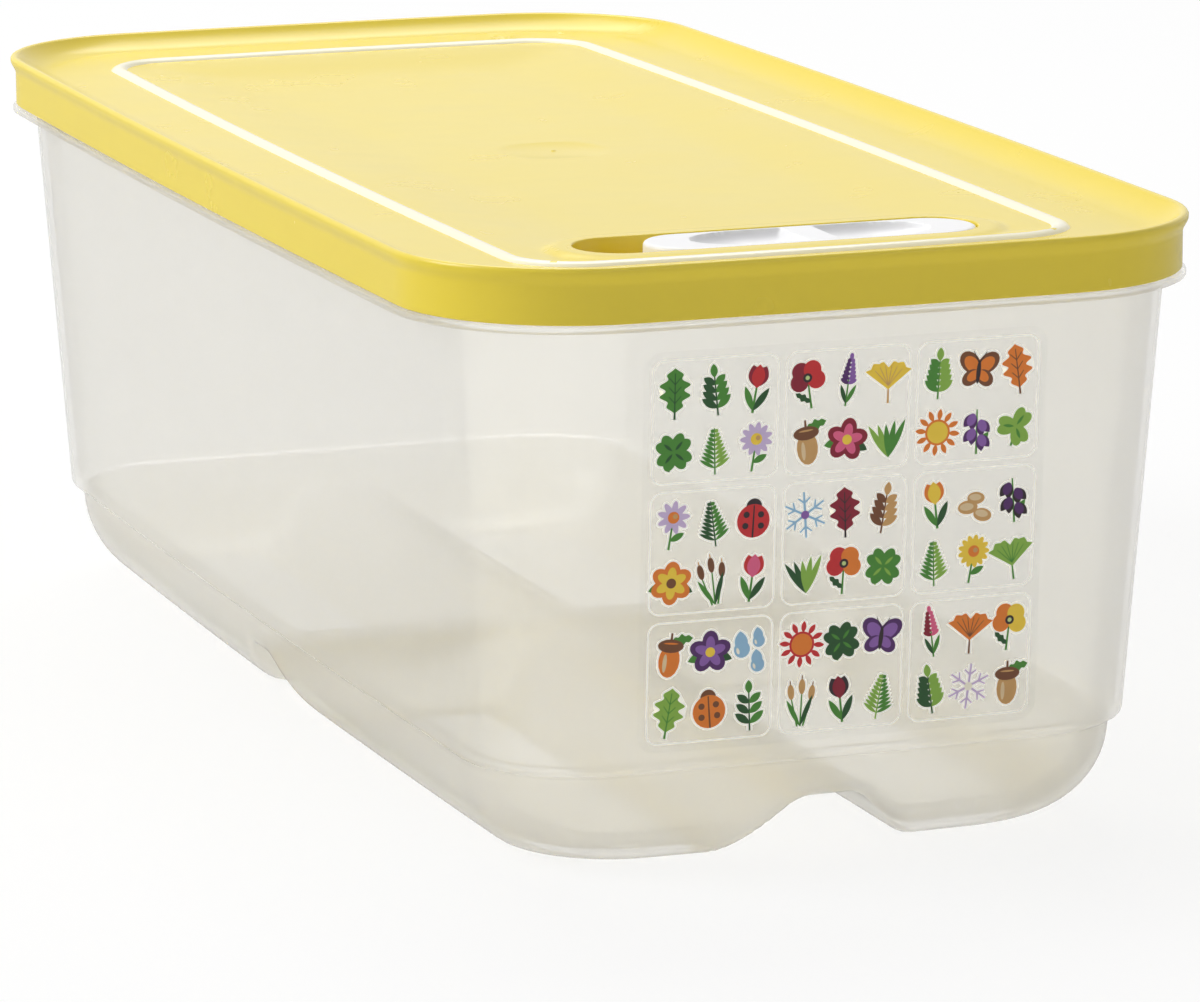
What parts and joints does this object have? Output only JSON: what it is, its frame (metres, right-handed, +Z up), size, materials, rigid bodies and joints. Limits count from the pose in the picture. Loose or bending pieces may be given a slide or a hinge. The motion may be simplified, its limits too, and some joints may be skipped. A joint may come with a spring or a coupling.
{
  "type": "produce keeper",
  "caption": "Long rectangular food keeper: clear footed tub, press-on lid with stacking bead and a sliding air vent, and a film chart on one end.",
  "frame": {"origin": "middle of the plane that the four feet stand on", "axes": "+Z up, +Y along the length away from the end that carries the chart and the vent, +X to the right seen from that end"},
  "size_m": [0.178, 0.3726, 0.131],
  "materials": {
    "clear_tub": "milky translucent moulded polypropylene, satin outside",
    "printed_film": "thin clear in-mould film with a small coloured chart printed on it",
    "yellow_lid": "soft satin moulded polyethylene, sunny yellow",
    "white_slider": "smooth semi-gloss moulded plastic, white"
  },
  "bodies": {
    "tub": {"tub": "clear_tub", "chart_film": "printed_film"},
    "lid": {"lid": "yellow_lid"},
    "slider": {"vent_slider": "white_slider"}
  },
  "joints": [
    {"name": "lid_lift", "type": "slide", "parent": "tub", "child": "lid", "axis": [0, 0, 1], "range_m": [0, 0.08]},
    {"name": "vent_slide", "type": "slide", "parent": "lid", "child": "slider", "axis": [1, 0, 0], "range_m": [-0.0154, 0]}
  ]
}
